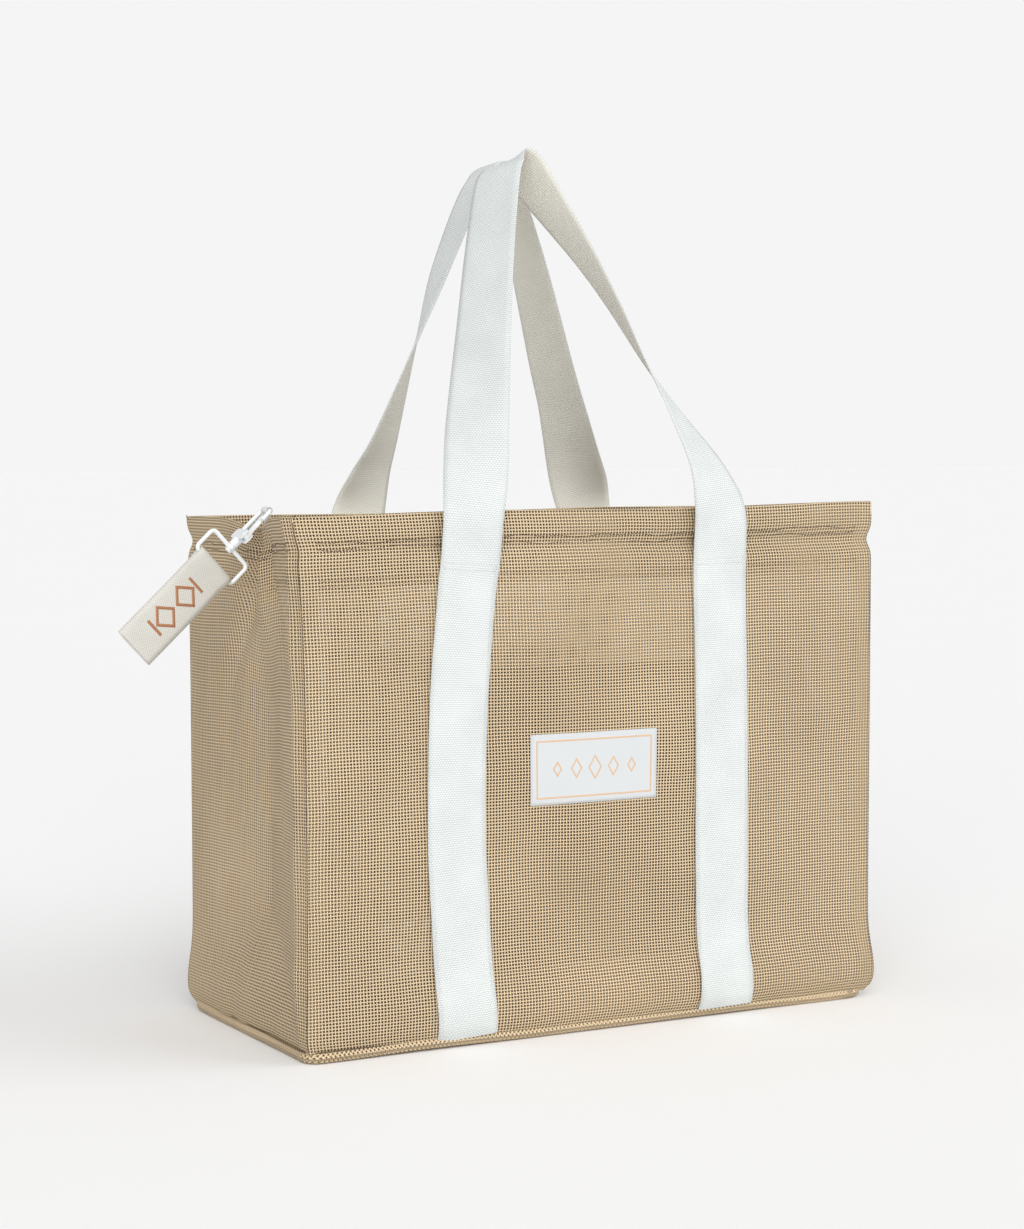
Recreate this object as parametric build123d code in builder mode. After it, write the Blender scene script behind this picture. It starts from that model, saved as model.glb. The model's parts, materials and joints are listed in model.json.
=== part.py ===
from build123d import *
import os
from math import cos, radians, sin

# Mesh tote: sewn mesh walls, webbing straps with two free handles, and a webbing fob on a swivel hook.
# Millimetres, +Z up. The origin is the centre of the base's underside. The front wall faces -Y.

# Bag
bag_length = 460.0
bag_depth = 205.0
rim_height = 370.0
cloth = 1.4
base_thickness = 2.0
corner_gap = 0.6

# Rim
hem_depth = 20.0
facing_depth = 50.0
rim_dip = 8.0
rim_dip_width = 70.0

# Gusset crease
gusset_inset = 12.0
gusset_base_inset = 1.0
gusset_split_height = 95.0

# Seam tape and base binding
seam_tape_width = 12.0
binding_height = 8.0
binding_thickness = 3.0
binding_corner_radius = 6.0
binding_edge_radius = 2.0

# Webbing straps and handles
strap_width = 45.0
strap_spacing = 210.0
webbing = 2.0
tack_below_rim = 34.0
hinge_clearance = 0.3
handle_top = 634.0
handle_gap = 1.0
handle_crest_radius = 12.0
crest_twist = 72.0
mid_twist = 60.0
mid_twist_height = 110.0
front_apex_x = -32.0
back_apex_x = -10.0
crest_start = 166.0
crest_end = 28.0
crest_steps = 6
leg_steps = 6

# Slip pockets
pocket_width = 210.0
pocket_bottom = 51.0
pocket_below_rim = 108.0
pocket_room = 6.0

# Label
label_length = 102.0
label_height = 50.0
label_thickness = 0.8
label_x = -9.0
label_z = 190.0

# Fob: angles from straight down, lengths along the fob from the hook's end wire
fob_lean = 47.0
hook_above_rim = 9.5
hook_wire_radius = 1.6
hook_width = 15.0
hook_corner_radius = 4.0
nose_end = 9.0
bridge_start = 22.0
bridge_length = 8.0
bridge_overhang = 2.0
bridge_thickness = 6.0
barrel_radius = 3.5
barrel_length = 6.0
gate_pivot_u = 26.0
gate_tip_u = 6.5
gate_tip_inset = 3.3
gate_thickness = 2.0
gate_width = 3.0
gate_barrel_radius = 2.0
gate_side_clearance = 0.2
gate_slot_reach = 4.5
pin_radius = 1.0
pin_seat_clearance = 0.02
running_clearance = 0.08
pin_head_radius = 1.6
pin_head_height = 0.5
leaf_thickness = 0.4
leaf_foot = 2.5
leaf_rise = 8.0
leaf_gap = 0.4
rivet_radius = 1.5
rivet_seat_depth = 5.0
rivet_head_radius = 2.6
rivet_head_height = 1.2
swivel_clearance = 0.2
ring_wire_radius = 1.5
ring_boss_radius = 3.2
ring_width = 37.0
ring_length = 18.0
ring_corner_radius = 3.5
fob_width = 32.0
fob_length = 80.0
fob_layer = 1.6
fob_ring_clearance = 0.3
tab_side_clearance = 1.4
tab_tape = 0.8
tab_clearance = 0.3
tab_tail = 28.0
tab_gap = 0.1

# Places worked out from the sizes above
half_length = bag_length / 2
half_depth = bag_depth / 2
dipped_rim = rim_height - rim_dip
tack_height = rim_height - tack_below_rim
pocket_top = rim_height - pocket_below_rim
dip_radius = (rim_dip_width**2 / 4 + rim_dip**2) / (2 * rim_dip)
gusset_half_depth = half_depth - cloth
fold_half_depth = half_depth - 3 * cloth - corner_gap
fold_half_length = half_length - cloth - corner_gap
facing_half_length = fold_half_length - seam_tape_width
strap_sides = (("left", -1), ("right", 1))
walls = (("front", -1), ("back", 1))


def save(builder, name):
    """Label a finished piece and write its STEP file."""
    builder.part.label = name
    export_step(builder.part, f"parts/{name}.step")


def layer_y(sign, layers):
    """Y of the face that lies so many cloth layers inside a long wall's outer face."""
    return sign * (half_depth - layers * cloth)


def slab(corner_a, corner_b):
    """Add a box between two opposite corners to the current part."""
    low = [min(a, b) for a, b in zip(corner_a, corner_b)]
    high = [max(a, b) for a, b in zip(corner_a, corner_b)]
    centre = [(a + b) / 2 for a, b in zip(low, high)]
    with Locations(tuple(centre)):
        Box(high[0] - low[0], high[1] - low[1], high[2] - low[2])


def crease_section(sign, first_layer, last_layer, inset, half_y, height):
    """Sketch of a gusset's V-shaped plan between two cloth layers at one height."""
    outer = half_length - first_layer * cloth
    inner = half_length - last_layer * cloth
    edge_inset = inset * (1 - half_y / gusset_half_depth)
    corners = [
        (sign * (outer - edge_inset), -half_y),
        (sign * (outer - inset), 0),
        (sign * (outer - edge_inset), half_y),
        (sign * (inner - edge_inset), half_y),
        (sign * (inner - inset), 0),
        (sign * (inner - edge_inset), -half_y),
    ]
    with BuildSketch(Plane.XY.offset(height)) as section:
        with BuildLine():
            Polyline(*corners, close=True)
        make_face()
    return section.sketch


def dip_section():
    """Sketch of the round dip that the hook pulls into the left rim."""
    with BuildSketch(Plane.YZ.offset(-half_length - cloth)) as section:
        with Locations((0, dipped_rim + dip_radius)):
            Circle(dip_radius)
    return section.sketch


os.makedirs("parts", exist_ok=True)

# Base: a flat mesh panel under all four walls
with BuildPart() as base_panel:
    slab((-half_length, -half_depth, 0), (half_length, half_depth, base_thickness))
save(base_panel, "base_panel")

# Base binding: a rolled strip round the foot of the walls
with BuildPart() as base_binding:
    with BuildSketch():
        RectangleRounded(
            bag_length + 2 * binding_thickness, bag_depth + 2 * binding_thickness, binding_corner_radius
        )
        Rectangle(bag_length, bag_depth, mode=Mode.SUBTRACT)
    extrude(amount=binding_height)
    rolled_edge = base_binding.faces().sort_by(Axis.Z)[-1].outer_wire().edges()
    fillet(rolled_edge, binding_edge_radius)
save(base_binding, "base_binding")

# Long walls: one cloth layer, folded over the facing at the rim
for wall, sign in walls:
    with BuildPart() as panel:
        slab(
            (-half_length, layer_y(sign, 0), base_thickness),
            (half_length, layer_y(sign, 1), rim_height),
        )
        slab(
            (-fold_half_length, layer_y(sign, 1), rim_height - cloth),
            (fold_half_length, layer_y(sign, 3), rim_height),
        )
        slab(
            (-fold_half_length, layer_y(sign, 2), rim_height - hem_depth),
            (fold_half_length, layer_y(sign, 3), rim_height),
        )
    save(panel, f"{wall}_panel")

    with BuildPart() as facing:
        slab(
            (-facing_half_length, layer_y(sign, 1), rim_height - facing_depth),
            (facing_half_length, layer_y(sign, 2), rim_height - cloth),
        )
    save(facing, f"{wall}_facing")

# Gussets: creased inward above the split, straight at the base, folded over the facing at the rim
dip_reach = gusset_inset + 6 * cloth
for hand, sign in strap_sides:
    foot_section = crease_section(sign, 0, 1, gusset_base_inset, gusset_half_depth, base_thickness)
    split_section = crease_section(sign, 0, 1, gusset_inset, gusset_half_depth, gusset_split_height)
    cap_section = crease_section(sign, 1, 3, gusset_inset, fold_half_depth, rim_height - cloth)
    hem_section = crease_section(sign, 2, 3, gusset_inset, fold_half_depth, rim_height - hem_depth)
    with BuildPart() as gusset:
        loft([foot_section, split_section], ruled=True)
        extrude(split_section, amount=rim_height - gusset_split_height)
        extrude(cap_section, amount=cloth)
        extrude(hem_section, amount=hem_depth)
        if hand == "left":
            extrude(dip_section(), amount=dip_reach, mode=Mode.SUBTRACT)
    save(gusset, f"{hand}_gusset")

    facing_section = crease_section(sign, 1, 2, gusset_inset, fold_half_depth, rim_height - facing_depth)
    with BuildPart() as facing:
        extrude(facing_section, amount=facing_depth - cloth)
        if hand == "left":
            extrude(dip_section(), amount=dip_reach, mode=Mode.SUBTRACT)
    save(facing, f"{hand}_facing")

# Corner seam tapes, flat on the long walls' inner faces
for wall, sign in walls:
    for hand, side in strap_sides:
        with BuildPart() as seam:
            slab(
                (side * fold_half_length, layer_y(sign, 1), base_thickness),
                (side * facing_half_length, layer_y(sign, 2), rim_height - cloth),
            )
        save(seam, f"{wall}_{hand}_seam")

# Slip pockets inside the long walls: a front sheet joined to the wall along three edges
for wall, sign in walls:
    pocket_outer = layer_y(sign, 2) - sign * pocket_room
    room_centre_y = layer_y(sign, 1) - sign * pocket_room / 2
    room_centre_z = (pocket_bottom + pocket_top + cloth) / 2
    with BuildPart() as pocket:
        slab(
            (-pocket_width / 2, layer_y(sign, 1), pocket_bottom),
            (pocket_width / 2, pocket_outer, pocket_top),
        )
        with Locations((0, room_centre_y, room_centre_z)):
            Box(
                pocket_width - 2 * cloth,
                pocket_room,
                pocket_top - pocket_bottom - cloth,
                mode=Mode.SUBTRACT,
            )
    save(pocket, f"{wall}_pocket")

# Straps: webbing sewn to the outside of the long walls, from the binding up to the tack line
for wall, sign in walls:
    for hand, side in strap_sides:
        strap_x = side * strap_spacing / 2
        with BuildPart() as strap:
            slab(
                (strap_x - strap_width / 2, sign * half_depth, binding_height),
                (
                    strap_x + strap_width / 2,
                    sign * (half_depth + webbing),
                    tack_height - hinge_clearance,
                ),
            )
        save(strap, f"{wall}_{hand}_strap")


def handle_path(sign, apex_x):
    """Centre points and width twists of a handle, from the left tack to the right tack."""
    foot_y = sign * (half_depth + hinge_clearance + webbing / 2)
    free_height = rim_height + 2 * webbing
    apex_y = sign * (strap_width / 2 * sin(radians(crest_twist)) + handle_gap / 2)
    centre = Vector(apex_x, apex_y, handle_top - webbing / 2 - handle_crest_radius)
    across = Vector(sin(radians(crest_twist)), -sign * cos(radians(crest_twist)), 0)
    crest = []
    for step in range(crest_steps + 1):
        angle = radians(crest_start + (crest_end - crest_start) * step / crest_steps)
        sideways = across * handle_crest_radius * cos(angle)
        upward = Vector(0, 0, handle_crest_radius * sin(angle))
        crest.append(centre + sideways + upward)
    points = []
    for side, top in ((-1, crest[0]), (1, crest[-1])):
        foot = Vector(side * strap_spacing / 2, foot_y, free_height)
        leg = [Vector(foot.X, foot.Y, tack_height)]
        leg += [foot + (top - foot) * (step / leg_steps) for step in range(leg_steps)]
        points.append(leg)
    return points[0], crest, points[1]


def leg_twist(height, full_twist):
    """Twist of a handle leg's width at one height, from none at the rim to the full twist at the crest."""
    above = max(0.0, height - rim_height - 2 * webbing)
    crest_above = handle_top - rim_height
    share = mid_twist / crest_twist
    if above < mid_twist_height:
        return full_twist * share * above / mid_twist_height
    return full_twist * (share + (1 - share) * (above - mid_twist_height) / (crest_above - mid_twist_height))


# Handles: free webbing above the tack line, twisted a half turn and bent over at the crest
for wall, sign, apex_x in (("front", -1, front_apex_x), ("back", 1, back_apex_x)):
    left_leg, crest, right_leg = handle_path(sign, apex_x)
    route = left_leg + crest + right_leg[::-1]
    twists = [leg_twist(point.Z, crest_twist) for point in left_leg]
    twists += [crest_twist] * len(crest)
    twists += [180 - leg_twist(point.Z, 180 - crest_twist) for point in right_leg[::-1]]
    with BuildPart() as handle:
        for index, (point, twist) in enumerate(zip(route, twists)):
            before = route[max(index - 1, 0)]
            after = route[min(index + 1, len(route) - 1)]
            along = (after - before).normalized()
            if index in (0, 1):
                along = Vector(0, 0, 1)
            if index in (len(route) - 2, len(route) - 1):
                along = Vector(0, 0, -1)
            width = Vector(-cos(radians(twist)), -sign * sin(radians(twist)), 0)
            width = (width - along * width.dot(along)).normalized()
            with BuildSketch(Plane(origin=point, x_dir=width, z_dir=along)):
                Rectangle(strap_width, webbing)
        loft(ruled=True)
    save(handle, f"{wall}_handle")

# Label: a sewn patch on the front wall
with BuildPart() as label:
    slab(
        (label_x - label_length / 2, -half_depth - label_thickness, label_z - label_height / 2),
        (label_x + label_length / 2, -half_depth, label_z + label_height / 2),
    )
save(label, "label")

# Fob planes. In the hook plane x runs along the fob and y along +Y; the ring plane is square to it.
fob_along = Vector(-sin(radians(fob_lean)), 0, -cos(radians(fob_lean)))
fob_across = fob_along.cross(Vector(0, 1, 0))
tail_x = -half_length + gusset_inset + 3 * cloth + tab_gap + tab_tape
fob_pivot = Vector(tail_x, 0, dipped_rim + hook_above_rim)
hook_plane = Plane(origin=fob_pivot, x_dir=fob_along, z_dir=fob_across)
ring_plane = Plane(origin=fob_pivot, x_dir=fob_along, z_dir=Vector(0, -1, 0))
arm_w = hook_width / 2
bridge_width = hook_width + 2 * bridge_overhang
tab_width = hook_width - 2 * (hook_wire_radius + tab_side_clearance)
gate_tip_w = gate_tip_inset - arm_w
bridge_end = bridge_start + bridge_length
barrel_end = bridge_end + barrel_length
ring_top = barrel_end + swivel_clearance
ring_wire_u = ring_top + ring_wire_radius
ring_bar_u = ring_wire_u + ring_length
boss_end = ring_wire_u + ring_wire_radius


def cross_plane(distance):
    """Plane square to the fob at a distance along it."""
    return Plane(origin=fob_pivot + fob_along * distance, x_dir=Vector(0, 1, 0), z_dir=fob_along)


# Tab: narrow tape folded round the hook's end wire, with its tail sewn inside the left rim
with BuildPart() as fob_tab:
    eye_radius = hook_wire_radius + tab_clearance
    with BuildSketch(Plane.XZ):
        with Locations((fob_pivot.X, fob_pivot.Z)):
            Circle(eye_radius + tab_tape)
        with Locations((fob_pivot.X, fob_pivot.Z - tab_tail / 2)):
            Rectangle(2 * tab_tape, tab_tail)
        with Locations((fob_pivot.X, fob_pivot.Z)):
            Circle(eye_radius, mode=Mode.SUBTRACT)
    extrude(amount=tab_width / 2, both=True)
save(fob_tab, "fob_tab")

# Hook: bent wire end, bridge with the gate's slot, and the swivel barrel
with BuildPart() as hook_body:
    with BuildLine(hook_plane) as hook_line:
        FilletPolyline(
            (bridge_start + 1, arm_w),
            (0, arm_w),
            (0, -arm_w),
            (nose_end, -arm_w),
            radius=hook_corner_radius,
        )
    with BuildSketch(Plane(origin=hook_line.line @ 0, z_dir=hook_line.line % 0)):
        Circle(hook_wire_radius)
    sweep()
    with BuildSketch(hook_plane):
        with Locations((bridge_start + bridge_length / 2, 0)):
            RectangleRounded(bridge_length, bridge_width, hook_wire_radius)
    extrude(amount=bridge_thickness / 2, both=True)
    with BuildSketch(cross_plane(bridge_end)):
        Circle(barrel_radius)
    extrude(amount=barrel_length)
    slot_edge = gate_slot_reach - arm_w
    with BuildSketch(hook_plane):
        with Locations((bridge_start + bridge_length / 2, (slot_edge - bridge_width) / 2)):
            Rectangle(bridge_length + 1, slot_edge + bridge_width)
    extrude(amount=gate_width / 2 + gate_side_clearance, both=True, mode=Mode.SUBTRACT)
    with BuildSketch(hook_plane):
        with Locations((gate_pivot_u, -arm_w)):
            Circle(pin_radius + pin_seat_clearance)
    extrude(amount=bridge_thickness, both=True, mode=Mode.SUBTRACT)
    with BuildSketch(cross_plane(barrel_end - rivet_seat_depth)):
        Circle(rivet_radius + pin_seat_clearance)
    extrude(amount=rivet_seat_depth, mode=Mode.SUBTRACT)
save(hook_body, "hook_body")

# Gate: a bar from its pin to the inside of the hook's nose
with BuildPart() as hook_gate:
    bar_run = Vector(gate_tip_u - gate_pivot_u, gate_tip_w + arm_w, 0)
    bar_side = Vector(-bar_run.Y, bar_run.X, 0).normalized() * (gate_thickness / 2)
    bar_start = Vector(gate_pivot_u, -arm_w, 0)
    bar_tip = bar_start + bar_run
    bar_corners = [bar_start + bar_side, bar_tip + bar_side, bar_tip - bar_side, bar_start - bar_side]
    with BuildSketch(hook_plane):
        with BuildLine():
            Polyline(*[(corner.X, corner.Y) for corner in bar_corners], close=True)
        make_face()
        with Locations((gate_pivot_u, -arm_w)):
            Circle(gate_barrel_radius)
            Circle(pin_radius + running_clearance, mode=Mode.SUBTRACT)
    extrude(amount=gate_width / 2, both=True)
save(hook_gate, "hook_gate")

# Gate pin through the bridge's two cheeks, with a flat head each side
with BuildPart() as gate_pin:
    with BuildSketch(hook_plane):
        with Locations((gate_pivot_u, -arm_w)):
            Circle(pin_radius)
    extrude(amount=bridge_thickness / 2 + pin_head_height, both=True)
    for face_side in (-1, 1):
        with BuildSketch(hook_plane.offset(face_side * bridge_thickness / 2)):
            with Locations((gate_pivot_u, -arm_w)):
                Circle(pin_head_radius)
        extrude(amount=face_side * pin_head_height)
save(gate_pin, "gate_pin")

# Gate spring: a leaf on the bridge that stands behind the gate
leaf_tip_u = bridge_start - leaf_rise
leaf_share = (gate_pivot_u - leaf_tip_u) / (gate_pivot_u - gate_tip_u)
leaf_tip_w = -arm_w + leaf_share * (gate_tip_w + arm_w) + gate_thickness / 2 + leaf_gap
leaf_root_w = leaf_tip_w + 2 * leaf_thickness
with BuildPart() as gate_spring:
    with BuildSketch(hook_plane):
        with BuildLine():
            Polyline(
                (bridge_start, leaf_root_w + leaf_foot),
                (bridge_start, leaf_root_w),
                (leaf_tip_u, leaf_tip_w),
                (leaf_tip_u, leaf_tip_w + leaf_thickness),
                (bridge_start - leaf_thickness, leaf_root_w + leaf_thickness),
                (bridge_start - leaf_thickness, leaf_root_w + leaf_foot),
                close=True,
            )
        make_face()
    extrude(amount=gate_width / 2, both=True)
save(gate_spring, "gate_spring")

# Swivel rivet: its shank sits in the barrel and its head holds the ring's boss
head_start = boss_end + swivel_clearance
with BuildPart() as swivel_rivet:
    with BuildSketch(cross_plane(barrel_end - rivet_seat_depth)):
        Circle(rivet_radius)
    extrude(amount=rivet_seat_depth + head_start - barrel_end)
    with BuildSketch(cross_plane(head_start)):
        Circle(rivet_head_radius)
    extrude(amount=rivet_head_height)
save(swivel_rivet, "swivel_rivet")

# Swivel ring: a rounded rectangle of wire with a bored boss on its top side
with BuildPart() as swivel_ring:
    with BuildLine(ring_plane) as ring_line:
        FilletPolyline(
            (ring_wire_u, ring_width / 2),
            (ring_bar_u, ring_width / 2),
            (ring_bar_u, -ring_width / 2),
            (ring_wire_u, -ring_width / 2),
            radius=ring_corner_radius,
            close=True,
        )
    with BuildSketch(Plane(origin=ring_line.line @ 0, z_dir=ring_line.line % 0)):
        Circle(ring_wire_radius)
    sweep()
    with BuildSketch(cross_plane(ring_top)):
        Circle(ring_boss_radius)
    extrude(amount=boss_end - ring_top)
    with BuildSketch(cross_plane(ring_top - 1)):
        Circle(rivet_radius + running_clearance)
    extrude(amount=boss_end - ring_top + 2, mode=Mode.SUBTRACT)
save(swivel_ring, "swivel_ring")

# Fob webbing: folded round the ring's lower bar and sewn to itself, with a round folded end
with BuildPart() as fob_webbing:
    loop_radius = ring_wire_radius + fob_ring_clearance
    with BuildSketch(hook_plane):
        with Locations((ring_bar_u, 0)):
            Circle(loop_radius + fob_layer)
        with Locations((ring_bar_u + fob_length / 2, 0)):
            Rectangle(fob_length, 2 * fob_layer)
        with Locations((ring_bar_u + fob_length, 0)):
            Circle(fob_layer)
        with Locations((ring_bar_u, 0)):
            Circle(loop_radius, mode=Mode.SUBTRACT)
    extrude(amount=fob_width / 2, both=True)
save(fob_webbing, "fob_webbing")
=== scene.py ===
import json
from math import cos, exp, pi, radians, sin, sqrt
import bpy
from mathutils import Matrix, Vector, noise


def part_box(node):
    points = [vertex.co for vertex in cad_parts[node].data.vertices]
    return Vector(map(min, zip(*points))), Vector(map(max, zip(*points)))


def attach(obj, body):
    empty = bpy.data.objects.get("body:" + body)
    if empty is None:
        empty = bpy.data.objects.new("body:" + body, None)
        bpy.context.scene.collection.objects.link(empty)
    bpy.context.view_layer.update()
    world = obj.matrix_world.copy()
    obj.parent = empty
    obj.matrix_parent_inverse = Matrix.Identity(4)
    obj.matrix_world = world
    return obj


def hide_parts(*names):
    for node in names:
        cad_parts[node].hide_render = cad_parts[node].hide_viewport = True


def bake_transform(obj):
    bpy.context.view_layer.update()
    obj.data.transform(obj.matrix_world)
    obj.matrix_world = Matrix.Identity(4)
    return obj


# Mesh tote: open-weave walls with folded hems, webbing loops, a sewn label and a webbing fob on a snap hook.
# Metres, in the frame's axes: +Z up, the front wall faces -Y, and the fob hangs at -X.

MM = 0.001
UP = Vector((0, 0, 1))

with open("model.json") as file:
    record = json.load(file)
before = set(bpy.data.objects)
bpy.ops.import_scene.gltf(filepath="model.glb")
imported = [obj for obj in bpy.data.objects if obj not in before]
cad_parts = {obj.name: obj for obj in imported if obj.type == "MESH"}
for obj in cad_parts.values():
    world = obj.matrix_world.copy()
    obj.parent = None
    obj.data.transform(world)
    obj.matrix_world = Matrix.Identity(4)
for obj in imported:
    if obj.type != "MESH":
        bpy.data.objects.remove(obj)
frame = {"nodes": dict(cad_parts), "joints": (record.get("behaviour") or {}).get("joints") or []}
SCENE = bpy.context.scene
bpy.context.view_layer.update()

# Sizes read from the frame
panel_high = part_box("front_panel")[1]
base_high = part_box("base_panel")[1]
pocket_low, pocket_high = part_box("front_pocket")
strap_low, strap_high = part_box("front_left_strap")
label_low, label_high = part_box("label")
facing_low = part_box("front_facing")[0]
seam_low, seam_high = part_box("front_left_seam")
tab_low, tab_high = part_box("fob_tab")
JOINTS = {joint["name"]: joint for joint in frame["joints"]}
HALF_LENGTH = base_high.x
HALF_DEPTH = base_high.y
LENGTH = 2 * HALF_LENGTH
DEPTH = 2 * HALF_DEPTH
RIM = panel_high.z
FACING_DEPTH = RIM - facing_low.z
SEAM_WIDTH = seam_high.x - seam_low.x
STRAP_WIDTH = strap_high.x - strap_low.x
TACK_Z = JOINTS["front_handle_swing"]["pos_m"][2]

# The walls' lower edge, the hem, its roll's radius, a strip's gap to its wall, and the gussets' allowance
FOOT = 5 * MM
HEM_DEPTH = 20 * MM
ROLL = 1.9 * MM
WALL_GAP = 1.1 * MM
ALLOWANCE = 14 * MM
# Inner layers follow the rim's ups and downs from the first height, and fully after the second distance
FOLLOW_FROM = 250 * MM
FOLLOW_OVER = 120 * MM

# Gusset crease, the height over which it parts into a Y, and the rim's dip at the hook
CREASE_DEPTH = 13 * MM
CREASE_SPLIT = 95 * MM
RIM_DIP = 7 * MM

# Webbing, how far stitches lie off their cloth, and the share of a wall's width that its rows stop short of
WEBBING = 1.9 * MM
LOOP_SEGMENTS = 10
STITCH_LIFT = 0.15 * MM
SEAM_END = 0.03

# Weaves: centre to centre of the yarns across and along the cut
MESH_PITCH = (2.35 * MM, 2.25 * MM)
WEBBING_PITCH = (2.1 * MM, 1.5 * MM)

# Studio: strengths of the even surround and of three soft suns, and the grey that the camera sees behind
AMBIENT = 0.58
KEY = 0.90
FILL = 1.55
SIDE = 1.10
BACKDROP = 0.913
FLOOR_HALF = 30.0

# Camera: its direction and distance from the point it looks at, and its lens in millimetres
AZIMUTH = radians(-28.72)
ELEVATION = radians(3.84)
DISTANCE = 1.93966
TARGET = Vector((-0.01704, 0, 0.29203))
LENS = 76.93


# ---- meshes

def shares(count):
    """Even shares from 0 to 1, in count steps."""
    return [k / count for k in range(count + 1)]


def link(name, verts, faces, uvs=None):
    """A mesh object from points, faces and one UV pair per point."""
    mesh = bpy.data.meshes.new(name)
    mesh.from_pydata([tuple(v) for v in verts], [], faces)
    if uvs is not None:
        layer = mesh.uv_layers.new(name="cloth")
        for loop in mesh.loops:
            layer.data[loop.index].uv = uvs[loop.vertex_index]
    mesh.polygons.foreach_set("use_smooth", [True] * len(mesh.polygons))
    mesh.update()
    piece = bpy.data.objects.new(name, mesh)
    SCENE.collection.objects.link(piece)
    return piece


def carry(piece, body, material):
    """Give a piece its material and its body."""
    piece.data.materials.append(material)
    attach(piece, body)


def grid_faces(across, along, wrap=False, start=0):
    """Quads of a grid with across + 1 points in each row, or across points where the rows close."""
    row = across if wrap else across + 1
    faces = []
    for j in range(along):
        for i in range(across):
            a = start + j * row + i
            b = start + j * row + (i + 1) % row if wrap else a + 1
            faces.append((a, b, b + row, a + row))
    return faces


def closing_faces(around, rings):
    """Quads from a closed tube's last ring back to its first."""
    last = (rings - 1) * around
    return [(last + i, last + (i + 1) % around, (i + 1) % around, i) for i in range(around)]


def cloth(name, place, flat, counts):
    """One layer of cloth. place(s, t) is where a point of the cut lies, with s and t from 0 to 1."""
    across, along = counts
    verts = []
    uvs = []
    for t in shares(along):
        for s in shares(across):
            verts.append(place(s, t))
            uvs.append((s * flat[0], t * flat[1]))
    return link(name, verts, grid_faces(across, along), uvs)


def band(name, route, sides, normals, width, thick, segments, closed=False):
    """Flat webbing along a route: at each point, sides gives the width's direction and normals the face's."""
    face = []
    for share in shares(segments):
        across = share * 2 - 1
        face.append((across, 1 - 0.55 * abs(across) ** 10))
    profile = face + [(across, -height) for across, height in reversed(face)]
    count = len(profile)
    verts = []
    uvs = []
    run = 0.0
    for k, point in enumerate(route):
        if k:
            run += (point - route[k - 1]).length
        for across, height in profile:
            verts.append(point + sides[k] * (across * width / 2) + normals[k] * (height * thick / 2))
            uvs.append(((across + 1) * width / 2, run))
    faces = grid_faces(count, len(route) - 1, wrap=True)
    if closed:
        faces += closing_faces(count, len(route))
    else:
        last = (len(route) - 1) * count
        faces.append(tuple(range(count - 1, -1, -1)))
        faces.append(tuple(range(last, last + count)))
    return link(name, verts, faces, uvs)


def spline(keys, steps):
    """Points along a Catmull-Rom curve through keys, which are tuples of numbers."""
    padded = [keys[0]] + list(keys) + [keys[-1]]
    out = []
    for k in range(1, len(padded) - 2):
        for step in range(steps):
            t = step / steps
            mixed = []
            for a, b, c, d in zip(*padded[k - 1:k + 3]):
                mixed.append(
                    0.5 * (2 * b + (c - a) * t + (2 * a - 5 * b + 4 * c - d) * t**2
                           + (3 * b - a - 3 * c + d) * t**3)
                )
            out.append(tuple(mixed))
    out.append(tuple(keys[-1]))
    return out


def threads(name, runs, pitch, material, radius, body="bag", fill=0.72):
    """Sewing stitches: small rounded bars laid along each run of (point, normal) pairs."""
    verts = []
    faces = []
    uvs = []
    sides = 6
    for run in runs:
        lengths = [0.0]
        for k in range(1, len(run)):
            lengths.append(lengths[-1] + (run[k][0] - run[k - 1][0]).length)
        count = max(1, int(lengths[-1] / pitch))
        ends = []
        k = 0
        for n in range(count):
            pair = []
            for share in (0.5 - fill / 2, 0.5 + fill / 2):
                target = (n + share) / count * lengths[-1]
                while k < len(lengths) - 2 and lengths[k + 1] < target:
                    k += 1
                t = (target - lengths[k]) / max(lengths[k + 1] - lengths[k], 1e-9)
                pair.append(run[k][0].lerp(run[k + 1][0], t))
            ends.append((pair, run[k][1]))
        for (a, b), normal in ends:
            along = (b - a).normalized()
            side = along.cross(normal).normalized()
            start = len(verts)
            for share, size in ((0.0, 0.35), (0.2, 0.9), (0.5, 1.0), (0.8, 0.9), (1.0, 0.35)):
                centre = a.lerp(b, share) + normal * (radius * (0.2 + 0.5 * sin(pi * share)))
                for i in range(sides):
                    turn = 2 * pi * i / sides
                    verts.append(centre + (side * cos(turn) + normal * sin(turn) * 0.8) * radius * size)
                    uvs.append((i / sides * 2 * pi * radius, share * pitch))
            faces += grid_faces(sides, 4, wrap=True, start=start)
            faces.append(tuple(start + i for i in range(sides - 1, -1, -1)))
            faces.append(tuple(start + 4 * sides + i for i in range(sides)))
    piece = link(name, verts, faces, uvs)
    carry(piece, body, material)
    return piece


# ---- materials

def nodes_of(name):
    """A new node material, with its tree and Principled node."""
    material = bpy.data.materials.new(name)
    material.use_nodes = True
    tree = material.node_tree
    return material, tree, tree.nodes["Principled BSDF"]


def settle(node, **values):
    """Set a node's inputs by name, with an underscore for each space."""
    for name, value in values.items():
        node.inputs[name.replace("_", " ")].default_value = value


def calc(tree, operation, *values, clamp=False):
    """A Math node's output, from sockets or numbers."""
    node = tree.nodes.new("ShaderNodeMath")
    node.operation = operation
    node.use_clamp = clamp
    for index, value in enumerate(values):
        if hasattr(value, "is_linked"):
            tree.links.new(value, node.inputs[index])
        else:
            node.inputs[index].default_value = value
    return node.outputs[0]


def plus(tree, a, b, clamp=False):
    """The sum of two sockets or numbers."""
    return calc(tree, "ADD", a, b, clamp=clamp)


def times(tree, a, b):
    """The product of two sockets or numbers."""
    return calc(tree, "MULTIPLY", a, b)


def ridges(tree, value):
    """|sin(pi x)|: a rounded ridge over each whole step of a value."""
    return calc(tree, "ABSOLUTE", calc(tree, "SINE", times(tree, value, pi)))


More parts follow.
